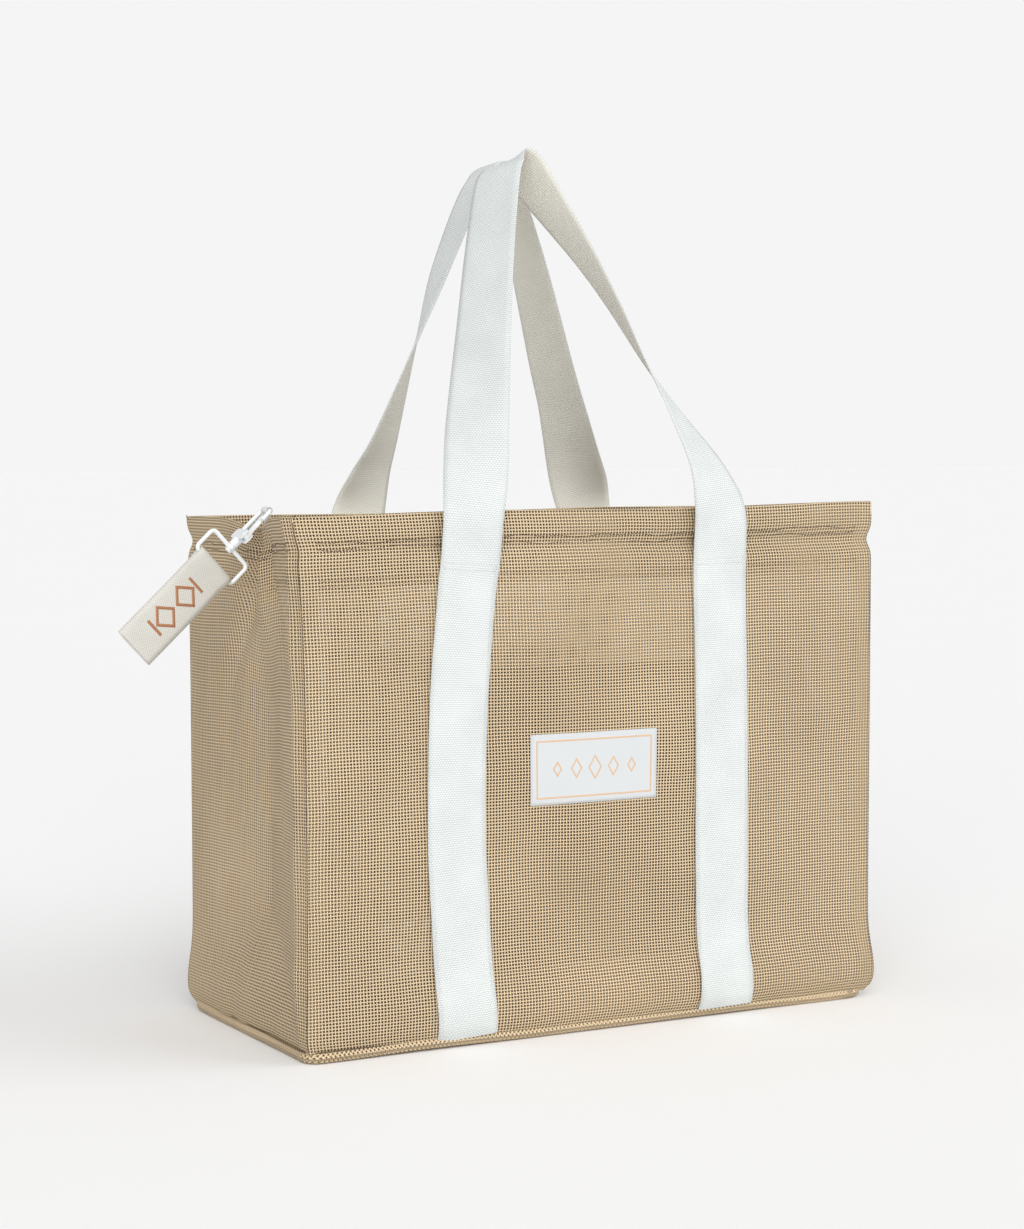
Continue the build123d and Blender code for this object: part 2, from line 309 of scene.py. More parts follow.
def noise_of(tree, vector, scale, detail=2.0):
    """A Noise node's value."""
    node = tree.nodes.new("ShaderNodeTexNoise")
    settle(node, Scale=scale, Detail=detail)
    tree.links.new(vector, node.inputs["Vector"])
    return node.outputs["Fac"]


def wobble(tree, vector, scale, size):
    """Noise about zero."""
    return times(tree, calc(tree, "SUBTRACT", noise_of(tree, vector, scale, 1.0), 0.5), size)


def tint(tree, shader, factor, dark, light):
    """Colour a shader between two colours, by a factor."""
    node = tree.nodes.new("ShaderNodeMix")
    node.data_type = "RGBA"
    settle(node, A=(*dark, 1), B=(*light, 1))
    tree.links.new(factor, node.inputs["Factor"])
    tree.links.new(node.outputs["Result"], shader.inputs["Base Color"])


def bump(tree, shader, height, distance, strength):
    """Bump from a height socket."""
    node = tree.nodes.new("ShaderNodeBump")
    settle(node, Distance=distance, Strength=strength)
    tree.links.new(height, node.inputs["Height"])
    tree.links.new(node.outputs["Normal"], shader.inputs["Normal"])


def mix_shaders(tree, factor, first, second, output):
    """Send a mix of two shaders to a tree's output node."""
    mix = tree.nodes.new("ShaderNodeMixShader")
    tree.links.new(factor, mix.inputs[0])
    tree.links.new(first.outputs[0], mix.inputs[1])
    tree.links.new(second.outputs[0], mix.inputs[2])
    tree.links.new(mix.outputs[0], tree.nodes[output].inputs["Surface"])


def cloth_axes(tree):
    """The cut's place, and its two coordinates in metres, from the piece's UV map."""
    uv = tree.nodes.new("ShaderNodeUVMap")
    uv.uv_map = "cloth"
    split = tree.nodes.new("ShaderNodeSeparateXYZ")
    tree.links.new(uv.outputs[0], split.inputs[0])
    return uv.outputs[0], split.outputs[0], split.outputs[1]


def yarn(tree, axis, pitch, phase, wander):
    """(0 at a yarn's middle to 0.5 between two yarns, the yarn's number) for yarns that cross one axis."""
    moved = plus(tree, plus(tree, calc(tree, "DIVIDE", axis, pitch), wander), phase)
    number = calc(tree, "FLOOR", moved)
    offset = calc(tree, "ABSOLUTE", calc(tree, "SUBTRACT", calc(tree, "FRACT", moved), 0.5))
    return offset, number


def open_weave(name, dark, light, cover=(0.49, 0.48), phase=0.0, hole=1.0, raised=0.8):
    """Coated open plain weave. cover is the yarns' share of the pitch. The yarns are painted dark at their
    edges and light on their tops, painted shade and highlight, over blotchy tone; hole tints what is seen
    through darker, painted shade of the bag's dim inside.
    """
    material, tree, shader = nodes_of(name)
    uv, u, v = cloth_axes(tree)
    wander = wobble(tree, uv, 13.0, 1.8)
    warp, warp_number = yarn(tree, u, MESH_PITCH[0], phase, wander)
    weft, weft_number = yarn(tree, v, MESH_PITCH[1], phase, times(tree, wander, -0.8))
    loose = wobble(tree, uv, 520.0, 0.16)
    on_warp = calc(tree, "LESS_THAN", plus(tree, warp, loose), cover[0] / 2)
    on_weft = calc(tree, "LESS_THAN", plus(tree, weft, loose), cover[1] / 2)
    warp_high = times(tree, calc(tree, "COSINE", times(tree, warp, pi / cover[0])), on_warp)
    weft_high = times(tree, calc(tree, "COSINE", times(tree, weft, pi / cover[1])), on_weft)
    parity = calc(tree, "MODULO", plus(tree, plus(tree, warp_number, weft_number), 4000.0), 2.0)
    over = plus(tree, times(tree, parity, 0.5), 0.5)
    under = calc(tree, "SUBTRACT", 1.5, over)
    height = calc(tree, "MAXIMUM", times(tree, warp_high, over), times(tree, weft_high, under))
    blotch = noise_of(tree, uv, 7.0, 3.0)
    # Colour factor: yarn height gives painted shade at the yarn edges and a painted highlight on the tops;
    # the noise adds blotchy tone
    shade = plus(tree, times(tree, height, 0.85), times(tree, blotch, 0.42), clamp=True)
    tint(tree, shader, shade, dark, light)
    settle(shader, Roughness=0.55, Specular_IOR_Level=0.35)
    bump(tree, shader, height, 0.35 * MM, raised)
    # The holes' transparent colour is grey below 1: painted shade that darkens everything seen through the
    # holes
    clear = tree.nodes.new("ShaderNodeBsdfTransparent")
    settle(clear, Color=(hole, hole, hole, 1))
    mix_shaders(tree, calc(tree, "MAXIMUM", on_warp, on_weft), clear, shader, "Material Output")
    return material


def close_weave(name, dark, light, pitch, depth, roughness=0.75):
    """Close plain webbing: rows of small picks with ribs between them, painted darker in the grooves and
    lighter on the picks' tops as painted shade and highlight, over blotchy tone.
    """
    material, tree, shader = nodes_of(name)
    uv, u, v = cloth_axes(tree)
    wander = times(tree, noise_of(tree, uv, 60.0, 1.0), 0.6)
    across = plus(tree, calc(tree, "DIVIDE", u, pitch[0]), wander)
    along = plus(tree, calc(tree, "DIVIDE", v, pitch[1]), wander)
    shifted = plus(tree, across, times(tree, calc(tree, "FLOOR", along), 0.5))
    height = times(tree, ridges(tree, along), calc(tree, "POWER", ridges(tree, shifted), 0.6))
    blotch = noise_of(tree, uv, 25.0, 3.0)
    # Colour factor: pick height gives painted shade in the grooves and a painted highlight on the tops; the
    # noise adds blotchy tone
    shade = plus(tree, times(tree, height, 0.7), times(tree, blotch, 0.4), clamp=True)
    tint(tree, shader, shade, dark, light)
    settle(shader, Roughness=roughness, Specular_IOR_Level=0.25, Sheen_Weight=0.15, Sheen_Roughness=0.5)
    bump(tree, shader, height, depth, 0.7)
    return material


def twisted_thread(name, dark, light, roughness=0.5, metallic=0.0):
    """Sewing thread, with the slant of its twist: its grooves are painted darker and its ridges lighter,
    painted shade and highlight.
    """
    material, tree, shader = nodes_of(name)
    u, v = cloth_axes(tree)[1:]
    slant = plus(tree, times(tree, v, 1 / (0.35 * MM)), times(tree, u, 1 / (0.6 * MM)))
    twist = ridges(tree, slant)
    # The twist's grooves take the dark colour and its ridges the light one: painted shade and highlight
    tint(tree, shader, twist, dark, light)
    settle(shader, Roughness=roughness, Metallic=metallic)
    bump(tree, shader, twist, 0.08 * MM, 0.6)
    return material


def coated_metal(name, dark, light, roughness, metallic, coat):
    """Painted or bright metal with faint unevenness."""
    material, tree, shader = nodes_of(name)
    where = tree.nodes.new("ShaderNodeTexCoord").outputs["Object"]
    tint(tree, shader, noise_of(tree, where, 120.0), dark, light)
    settle(shader, Roughness=roughness, Metallic=metallic, Coat_Weight=coat, Coat_Roughness=0.12)
    bump(tree, shader, noise_of(tree, where, 900.0), 0.04 * MM, 0.5)
    return material


# Yarn colours: the dark one is painted shade for the yarn edges, the light one the lit yarn tops with painted
# highlight
BEIGE_EDGE_SHADE = (0.10, 0.065, 0.033)
BEIGE_TOP_LIT = (0.77, 0.60, 0.385)
# Gusset yarn colour, darker than the walls': painted shade of the sides turned away from the light
BEIGE_SIDE_SHADED = (0.71, 0.555, 0.355)
# hole values below 1 darken the see-through as painted shade of the bag's dim inside
MESH = open_weave("mesh", BEIGE_EDGE_SHADE, BEIGE_TOP_LIT, hole=0.5)
MESH_SIDE_SHADED = open_weave("mesh_side_shaded", BEIGE_EDGE_SHADE, BEIGE_SIDE_SHADED, (0.55, 0.50), phase=0.12, hole=0.4, raised=0.35)
MESH_INNER = open_weave("mesh_inner", BEIGE_EDGE_SHADE, BEIGE_TOP_LIT, phase=0.37, hole=0.5)
# Near-black copy of the mesh for the front pocket: painted shade of the pocket lying behind the front wall
MESH_POCKET_SHADED = open_weave("mesh_pocket_shaded", (0.02, 0.013, 0.007), (0.12, 0.09, 0.055), phase=0.21, hole=0.2)
MESH_TRIM = open_weave("mesh_trim", BEIGE_EDGE_SHADE, BEIGE_TOP_LIT, (0.66, 0.64), phase=0.61)
STRAP_CLOTH = close_weave(
    "strap_webbing", (0.42, 0.44, 0.435), (0.80, 0.835, 0.825), WEBBING_PITCH, 0.24 * MM
)
# Paler, warmer copy of the strap webbing for the loops' inner faces: painted light
STRAP_INNER_LIT = close_weave("strap_inner_lit", (0.62, 0.61, 0.55), (0.93, 0.915, 0.83), WEBBING_PITCH, 0.2 * MM)
LABEL_CLOTH = close_weave(
    "label_cloth", (0.54, 0.56, 0.57), (0.61, 0.63, 0.64), (0.6 * MM, 0.6 * MM), 0.03 * MM, 0.6
)
FOB_CLOTH = close_weave("fob_cloth", (0.40, 0.39, 0.36), (0.84, 0.82, 0.76), (1.8 * MM, 1.3 * MM), 0.2 * MM)
TAPE_CLOTH = close_weave("tape", (0.60, 0.59, 0.56), (0.80, 0.79, 0.76), (0.8 * MM, 0.6 * MM), 0.08 * MM)
BEIGE_THREAD = twisted_thread("beige_thread", (0.30, 0.21, 0.12), (0.60, 0.46, 0.28))
# Near-black thread: painted shade, for the dark lines of the hem rows, the corner seams and the binding's
# crease
SHADE_THREAD = twisted_thread("shade_thread", (0.05, 0.032, 0.018), (0.15, 0.10, 0.055))
WHITE_THREAD = twisted_thread("white_thread", (0.60, 0.61, 0.60), (0.82, 0.83, 0.82))
PEACH_INK = close_weave(
    "peach_print", (0.58, 0.38, 0.23), (0.68, 0.47, 0.30), (0.5 * MM, 0.5 * MM), 0.02 * MM
)
COPPER_THREAD = twisted_thread("copper_thread", (0.20, 0.075, 0.03), (0.60, 0.28, 0.14), 0.35, 0.3)
WHITE_METAL = coated_metal("white_metal", (0.80, 0.84, 0.86), (0.86, 0.89, 0.91), 0.28, 0.0, 0.8)
STEEL = coated_metal("spring_steel", (0.50, 0.51, 0.53), (0.66, 0.67, 0.69), 0.25, 1.0, 0.0)


# ---- the bag's shape

def hump(offset, width):
    """1 at no offset, falling smoothly to nothing on both sides."""
    return exp(-(offset / width) ** 2)


def ripple(x, z, seed):
    """Soft unevenness of hanging cloth."""
    broad = noise.noise(Vector((x * 9, z * 7, seed)))
    fine = noise.noise(Vector((x * 26, z * 20, seed + 5)))
    return 1.6 * MM * broad + 0.5 * MM * fine


def rim_height(side_y, across):
    """Height of the rim above its level line: the front wall's stands higher, and the back's sags."""
    if side_y < 0:
        return (1.0 + 4.0 * across) * MM
    return (-5.0 + 3.0 * across) * MM


def corner(side_x, side_y, z):
    """Where the cloth's corner edge is at a height: it flares at the rim and swells just above the base."""
    top = exp(-max(RIM - z, 0) / (55 * MM))
    swell = hump(z - 22 * MM, 24 * MM)
    pinch = hump(z - RIM + 23 * MM, 7 * MM)
    tuck = max(0.0, 1 - z / (17 * MM)) ** 2
    if side_x < 0 and side_y < 0:
        out_x, out_y = 8.5 * top, -3.5 * top
        swell, pinch = 0.2 * swell, 0.6 * pinch
    elif side_x < 0:
        out_x, out_y = 1.5 * top, 3.0 * top
        swell = 0.8 * swell
    else:
        out_x, out_y = 2.5, 1.0
    x = side_x * (HALF_LENGTH + (out_x + 4.5 * swell - 3.5 * pinch - 8 * tuck) * MM)
    y = side_y * (HALF_DEPTH + (out_y + 2.0 * swell - 1.5 * pinch - 7 * tuck) * MM)
    return x, y


def wall_point(side_y, across, z):
    """A point of a long wall's outer cloth; across runs from 0 at the left corner to 1 at the right."""
    left = corner(-1, side_y, z)
    right = corner(1, side_y, z)
    x = left[0] + (right[0] - left[0]) * across
    y = left[1] + (right[1] - left[1]) * across
    free = sin(pi * across) ** 0.5 if 0 < across < 1 else 0.0
    swell = 3.5 * MM * hump(z - 26 * MM, 24 * MM)
    line = RIM - 22.5 * MM + 1.5 * MM * sin(across * 17) + 1.0 * MM * sin(across * 41)
    hem = 1.4 * MM * hump(z - RIM + 9 * MM, 9 * MM) - 1.5 * MM * hump(z - line, 2.6 * MM)
    bow = 1.5 * MM * sin(pi * z / RIM)
    wave = ripple(x, z, side_y * 3) * min(1.0, z / (30 * MM))
    return Vector((x, y + side_y * free * (swell + hem + bow + wave), z))


def crease(y, z):
    """How far a gusset is drawn in: a crease near its middle that parts into a Y above the base."""
    slack = min(1.0, max(0.0, (RIM - z - 30 * MM) / (80 * MM)))
    middle = -4 * MM * slack
    half = HALF_DEPTH + middle if y < middle else HALF_DEPTH - middle
    aside = sqrt(((y - middle) / half) ** 2 + 0.0006) - 0.0245
    fold = 1 - aside
    spread = z / CREASE_SPLIT
    blend_width = 0.07
    gap = max(blend_width - abs(fold - spread), 0) / blend_width
    drawn = max(0.0, min(fold, spread) - gap * gap * blend_width / 4)
    return CREASE_DEPTH * (1 + 0.4 * slack) * drawn ** 1.5


def hook_folds(y, z):
    """Folds that fan out under the hook's pull on the left rim."""
    drop = RIM - z
    if drop <= 0:
        return 0.0
    fan = hump(drop - 55 * MM, 60 * MM)
    first = hump(y + 6 * MM - drop * 0.42, 8 * MM + drop * 0.05)
    second = hump(y + 14 * MM + drop * 0.30, 9 * MM + drop * 0.04)
    third = hump(y + 3 * MM + drop * 0.02, 7 * MM)
    return fan * (8.5 * MM * first + 7.0 * MM * second - 4.0 * MM * third)


def corner_strip(y, z):
    """Outward ridge of the stiff doubled strip beside the front corner."""
    inset = y + HALF_DEPTH
    wave = 1 + 0.35 * noise.noise(Vector((z * 16, 3, 80)))
    return 5.0 * MM * wave * hump(inset - 13 * MM, 6.5 * MM) * min(1.0, z / (60 * MM))


def gusset_point(side_x, across, z):
    """A point of a gusset's outer cloth; across runs from 0 at the front corner to 1 at the back."""
    front = corner(side_x, -1, z)
    back = corner(side_x, 1, z)
    x = front[0] + (back[0] - front[0]) * across
    y = front[1] + (back[1] - front[1]) * across
    free = sin(pi * across) if 0 < across < 1 else 0.0
    inward = crease(y, z)
    wave = 1.5 * ripple(y * 1.3, z, side_x * 7 + 20) * free
    wave += 1.6 * MM * noise.noise(Vector((y * 55, z * 5, side_x * 3 + 90))) * free
    outward = wave + corner_strip(y, z)
    if side_x < 0:
        inward += hook_folds(y, z)
    return Vector((x - side_x * (inward - outward), y, z))


def gusset_rim(side_x, across):
    """Height of a gusset's rim, dipped where the hook hangs on the left one."""
    y = (across * 2 - 1) * HALF_DEPTH
    front = rim_height(-1, 0 if side_x < 0 else 1)
    back = rim_height(1, 0 if side_x < 0 else 1)
    level = RIM + front + (back - front) * across
    if side_x > 0:
        return level - 2 * MM * sin(pi * across)
    return level - RIM_DIP * hump(y, 26 * MM) - 1.5 * MM * sin(pi * across)


def inward_of(kind, side):
    """Unit vector from a wall or gusset into the bag."""
    return Vector((0, -side, 0)) if kind == "wall" else Vector((-side, 0, 0))


def surface(kind, side):
    """(place on the outer cloth, rim height) of a wall or gusset, by its kind and side."""
    if kind == "wall":
        return (
            lambda across, z: wall_point(side, across, z),
            lambda across: RIM + rim_height(side, across) + 0.8 * MM * sin(9 * across + side),
        )
    return (
        lambda across, z: gusset_point(side, across, z),
        lambda across: gusset_rim(side, across),
    )


def panel_place(kind, side):
    """Cut to place of a panel: up the outside, over the rim and down inside as the hem."""
    place, rim = surface(kind, side)
    rise = RIM - FOOT
    roll = pi * ROLL
    whole = rise + roll + HEM_DEPTH

    def at(s, t):
        run = t * whole
        top = rim(s) - ROLL
        inner = inward_of(kind, side)
        if run <= rise:
            z = FOOT + (top - FOOT) * run / rise
            return place(s, z)
        if run <= rise + roll:
            turn = (run - rise) / ROLL
            return place(s, top) + inner * ROLL * (1 - cos(turn)) + UP * ROLL * sin(turn)
        down = run - rise - roll
        return place(s, top - down) + inner * 2 * ROLL

    return at, whole


def inner_place(kind, side, low, high, from_s, to_s, depth):
    """Cut to place of a layer that lies a depth inside a wall, between two heights under the rim's line."""
    place, rim = surface(kind, side)

    def at(s, t):
        across = from_s + (to_s - from_s) * s
        lift = rim(across) - RIM
        z = low + (high - low) * t
        share = max(0.0, min(1.0, (z - FOLLOW_FROM) / FOLLOW_OVER))
        return place(across, z + lift * share) + inward_of(kind, side) * depth

    return at


def finish_cloth(piece, material, node, body="bag"):
    """Give a sheet its material and body, and hide its CAD node."""
    carry(piece, body, material)
    if node:
        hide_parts(node)
    return piece


def seam_run(kind, side, z_of, lift, inside=False):
    """A stitch line along a wall, lifted off its cloth. z_of(across, rim) is its height."""
    place, rim = surface(kind, side)
    normal = inward_of(kind, side) if inside else -inward_of(kind, side)
    run = []
    for share in shares(160):
        across = SEAM_END + (1 - 2 * SEAM_END) * share
        run.append((place(across, z_of(across, rim)) + normal * lift, normal))
    return run


def hem_rows(kind, side):
    """The two wavy stitch rows of the hem, seen outside and inside."""
    rows = []
    for drop, phase in ((19.0 * MM, 0.0), (23.5 * MM, 1.3)):
        def height(across, rim, drop=drop, phase=phase):
            return rim(across) - drop + 0.7 * MM * sin(38 * across + phase) + 0.5 * MM * sin(91 * across)
        rows.append(seam_run(kind, side, height, STITCH_LIFT))
        rows.append(seam_run(kind, side, height, 2 * ROLL + STITCH_LIFT, inside=True))
    return rows


def build_panel(kind, side, node, width):
    """One long wall or gusset, with its hem's stitch rows."""
    # Gussets take the darker copy of the mesh, painted shade
    counts, material = ((120, 110), MESH) if kind == "wall" else ((96, 120), MESH_SIDE_SHADED)
    at, whole = panel_place(kind, side)
    piece = cloth(node + "_cloth", at, (width, whole), counts)
    # The hem rows are real stitches drawn in near-black thread, darkened as painted shade of the hem's groove
    sewn = threads(node + "_hem_shade_stitches", hem_rows(kind, side), 3.0 * MM, SHADE_THREAD, 0.34 * MM)
    return finish_cloth(piece, material, node)


def build_facing(kind, side, node, width):
    """The band inside the rim of a wall or gusset, with its two stitch rows."""
    low = RIM - FACING_DEPTH
    high = RIM - 4 * MM
    flat = (width, high - low)
    piece = cloth(node + "_cloth", inner_place(kind, side, low, high, 0.01, 0.99, ROLL), flat, (80, 12))
    rows = []
    for rise in (2.0 * MM, 6.0 * MM):
        def height(across, rim, rise=rise):
            return rim(across) - FACING_DEPTH + rise
        rows.append(seam_run(kind, side, height, STITCH_LIFT))
    sewn = threads(node + "_stitches", rows, 3.2 * MM, BEIGE_THREAD, 0.26 * MM)
    finish_cloth(piece, MESH_INNER, node)


def build_walls():
    """Long walls and gussets, each with its hem and facing."""
    for kind, side, name, width in (
        ("wall", -1, "front_panel", LENGTH),
        ("wall", 1, "back_panel", LENGTH),
        ("gusset", -1, "left_gusset", DEPTH),
        ("gusset", 1, "right_gusset", DEPTH),
    ):
        panel = build_panel(kind, side, name, width)
        build_facing(kind, side, name.split("_")[0] + "_facing", width)


def lay_strip(kind, side, name, node, start, end, width, across):
    """A doubled strip just inside a wall or gusset, from the foot nearly to the rim."""
    high = RIM - 6 * MM
    flat = (width, high - FOOT)
    piece = cloth(name, inner_place(kind, side, FOOT, high, start, end, WALL_GAP), flat, (across, 90))
    finish_cloth(piece, MESH_TRIM, node)


def build_corner_strips():
    """Doubled seam strips beside the four corners, on the long walls and on the gussets."""
    seam_share = SEAM_WIDTH / LENGTH
    lap_share = ALLOWANCE / DEPTH
    seam_trim = 0.002
    lap_trim = 0.004
    for wall, side in (("front", -1), ("back", 1)):
        for hand, side_x in (("left", -1), ("right", 1)):
            seam = f"{wall}_{hand}_seam"
            start = seam_trim if side_x < 0 else 1 - seam_share
            end = start + seam_share - seam_trim
            lay_strip("wall", side, seam + "_cloth", seam, start, end, SEAM_WIDTH, 4)
            lap = f"{hand}_{wall}_allowance"
            start = lap_trim if side < 0 else 1 - lap_share - lap_trim
            lay_strip("gusset", side_x, lap, None, start, start + lap_share, ALLOWANCE, 5)


def build_corner_seams():
    """A sewn line down each corner edge, where a long wall and a gusset meet, drawn near-black as painted
    shade of the groove there.
    """
    inset = 0.4 * MM / LENGTH
    low = FOOT + 4 * MM
    high = RIM - 4 * MM
    for side_x, side_y in ((-1, -1), (-1, 1), (1, -1), (1, 1)):
        across = inset if side_x < 0 else 1 - inset
        normal = Vector((0, side_y, 0))
        run = []
        for share in shares(180):
            point = wall_point(side_y, across, low + (high - low) * share)
            run.append((point + normal * STITCH_LIFT, normal))
        wall = "front" if side_y < 0 else "back"
        hand = "left" if side_x < 0 else "right"
        threads(
            f"{wall}_{hand}_corner_shade_stitches", [run], 2.6 * MM, SHADE_THREAD, 0.34 * MM, fill=0.92
        )


def base_route():
    """Points round the foot, close enough together for the binding's sway."""
    radius = 9 * MM
    reach_x = HALF_LENGTH - 2.5 * MM - radius
    reach_y = HALF_DEPTH - 2.0 * MM - radius
    route = []
    for side_x, side_y, start in ((1, -1, -90), (1, 1, 0), (-1, 1, 90), (-1, -1, 180)):
        middle = Vector((side_x * reach_x, side_y * reach_y, 0))
        for share in shares(8):
            angle = radians(start + 90 * share)
            route.append(middle + radius * Vector((cos(angle), sin(angle), 0)))
    dense = []
    for k, point in enumerate(route):
        after = route[(k + 1) % len(route)]
        parts = max(1, int((after - point).length / (4 * MM)))
        dense += [point.lerp(after, step / parts) for step in range(parts)]
    return dense


def out_of(route, k):
    """Level unit vector out of a closed route at one of its points."""
    along = (route[(k + 1) % len(route)] - route[k - 1]).normalized()
    return Vector((along.y, -along.x, 0))


def build_binding(route):
    """The rolled binding round the foot, and the core that closes its weave from inside."""
    sides = 14
    shells = {"roll": [], "core": []}
    uvs = []
    run = 0.0
    for k, point in enumerate(route):
        run += (point - route[k - 1]).length if k else 0.0
        out = out_of(route, k)
        lift = 1.3 * MM * (1 + noise.noise(Vector((run * 9, 3, 60)))) - 0.6 * MM
        sway = 1.0 * MM * noise.noise(Vector((run * 14, 7, 61)))
        tall = 3.7 * MM + 0.4 * MM * noise.noise(Vector((run * 20, 1, 62)))
        centre = point + out * sway + UP * max(tall, lift + tall)
        for i in range(sides):
            turn = 2 * pi * i / sides
            skin = centre + out * 3.5 * MM * cos(turn) + UP * tall * sin(turn)
            shells["roll"].append(skin)
            shells["core"].append(point + (skin - point) * 0.8 + UP * 0.7 * MM)
            uvs.append((run * 0.7071 + turn * 2.3 * MM, -run * 0.7071 + turn * 2.3 * MM))
    faces = grid_faces(sides, len(route) - 1, wrap=True) + closing_faces(sides, len(route))
    pieces = []
    for part, material in (("roll", MESH_TRIM), ("core", MESH_INNER)):
        piece = link("base_binding_" + part, shells[part], faces, uvs)
        carry(piece, "bag", material)
        pieces.append(piece)
    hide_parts("base_binding")
    return pieces


def build_base():
    """Base panel of doubled mesh, the binding round the foot and a stitch row above it, drawn near-black as
    painted shade of the crease between wall and binding.
    """
    route = base_route()
    binding = build_binding(route)
    run = []
    for k in [*range(len(route)), 0]:
        out = out_of(route, k)
        run.append((route[k] + out * 1.6 * MM + UP * 8.1 * MM, out))
    threads("base_binding_shade_stitches", [run], 2.4 * MM, SHADE_THREAD, 0.5 * MM, fill=0.96)
    size = (LENGTH - 6 * MM, DEPTH - 6 * MM)
    for name, material, node, rise, trims in (
        ("base_panel_cloth", MESH_INNER, "base_panel", 3.2 * MM, binding),
        ("base_panel_lower", MESH, None, 1.6 * MM, ()),
    ):
        def at(s, t, rise=rise):
            x = (s - 0.5) * size[0]
            y = (t - 0.5) * size[1]
            edge = sin(pi * s) * sin(pi * t)
            return Vector((x, y, rise + 1.2 * MM * edge + ripple(x, y, 40) * 0.6 * edge))

        piece = cloth(name, at, size, (60, 40))
        finish_cloth(piece, material, node)


def build_pockets():
    """Flat slip pockets on the inside of the long walls, each with a folded hem."""
    width = 2 * pocket_high.x
    rise = pocket_high.z - pocket_low.z
    hem = 14 * MM
    from_s = 0.5 - width / 2 / LENGTH
    # The front pocket takes the near-black mesh, painted shade; the back pocket takes the plain inner mesh
    for wall, side, material in (("front", -1, MESH_POCKET_SHADED), ("back", 1, MESH_INNER)):
        node = f"{wall}_pocket"
        inner = inward_of("wall", side)
        flat_at = inner_place("wall", side, pocket_low.z, pocket_high.z, from_s, 1 - from_s, 0)

        def at(s, t, inner=inner, flat_at=flat_at):
            slack = 1.6 * MM + 3.6 * MM * (sin(pi * s) ** 0.7 if 0 < s < 1 else 0) * t**0.8
            return flat_at(s, t) + inner * slack

        def hem_at(s, t, inner=inner, at=at):
            return at(s, 1 - (1 - t) * hem / rise) + inner * 0.9 * MM

        piece = cloth(node + "_cloth", at, (width, rise), (60, 60))
        fold = cloth(node + "_hem", hem_at, (width, hem), (60, 5))
        carry(fold, "bag", MESH_INNER)
        row = [(at(s, 1 - hem / rise) + inner * 1.0 * MM, inner) for s in shares(120)]
        sewn = threads(node + "_stitches", [row], 3.0 * MM, BEIGE_THREAD, 0.26 * MM)
        finish_cloth(piece, material, node)


# ---- webbing loops

# Sewn rows are (x, z) in millimetres. Free rows are a place in millimetres, then in degrees the turn of
# the webbing's width about Z and how far its near edge is tilted up.
FRONT_LEFT = (
    (-109.5, 7), (-110, 12), (-110.5, 18), (-111, 26), (-112, 38), (-113, 55),
    (-115, 90), (-118, 150), (-116, 240), (-110, 310),
)
FRONT_RIGHT = (
    (103, 7), (102.8, 12), (102.6, 18), (102.3, 26), (102, 38), (101, 55),
    (100, 90), (99, 150), (98, 240), (97, 310),
)
BACK_HEIGHTS = (7, 12, 18, 26, 38, 55, 110, 200, 310)
BACK_LEFT = [(-98 if z < 200 else -97, z) for z in BACK_HEIGHTS]
BACK_RIGHT = [(112, z) for z in BACK_HEIGHTS]
FRONT_FREE = (
    (-107, -104.9, 336, 2, 0), (-105.5, -107.5, 372, 5, 0), (-99.5, -99, 400, 22, 0), (-91, -85, 434, 42, 0),
    (-77, -67, 494, 60, 0),
    (-63, -50, 552, 68, 2), (-52, -38, 592, 71, 6), (-46, -32, 609, 72, 9), (-40, -28.5, 617, 72, 12),
    (-33, -27.5, 620, 73, 13), (-26.5, -29, 617, 75, 13), (-21, -31.5, 610, 78, 12), (-12, -36.5, 596, 84, 9),
    (15, -50, 553, 98, 2), (34, -60, 518, 108, 0), (53, -72, 477, 119, 0), (72, -84, 440, 134, 0),
    (89, -99, 402, 155, 0), (95, -107.5, 372, 175, 0), (97, -104.9, 336, 180, 0),
)
BACK_FREE = (
    (-97, 104.9, 336, 2, 0), (-90, 107.5, 368, 5, 0), (-84, 100, 396, 24, 0), (-77, 89, 424, 40, 0),
    (-65, 72, 479, 59, 0),
    (-53, 56, 533, 78, 0), (-42, 45, 572, 84, 0), (-33, 37.5, 600, 85, -1), (-27, 34.5, 613, 85, -2),
    (-21.5, 33, 621, 85, -2), (-15, 32.5, 624, 86, -2), (-9, 33, 621, 87, -2), (-4, 34.5, 613, 88, -1),
    (4, 38, 598, 89, 0), (28, 52, 544, 98, 0), (57, 72, 478, 108, 0), (75, 84, 440, 116, 0),
    (92, 98, 404, 136, 0), (107, 107.5, 368, 175, 0), (112, 104.9, 336, 180, 0),
)


def strap_seat(side, x, z):
    """Where the middle of sewn webbing lies, in y, over the cloth of a long wall."""
    across = (x + HALF_LENGTH) / LENGTH
    return wall_point(side, across, z).y + side * (WEBBING / 2 + 0.5 * MM)


def sewn_keys(column, side):
    """Keys of a sewn strap: it lies on the wall's cloth, with its width along the wall."""
    keys = []
    for x, z in column:
        keys.append((x * MM, strap_seat(side, x * MM, z * MM), z * MM, 0.0, 0.0))
    return keys


def press_to_wall(piece, route, around, side):
    """Lay the sewn stretch of a loop onto the unevenness of its wall, across the webbing's whole width."""
    for vertex in piece.data.vertices:
        centre = route[vertex.index // around]
        share = min(1.0, max(0.0, (TACK_Z - centre.z) / (12 * MM)))
        moved = strap_seat(side, vertex.co.x, vertex.co.z) - centre.y
        vertex.co.y += share * moved


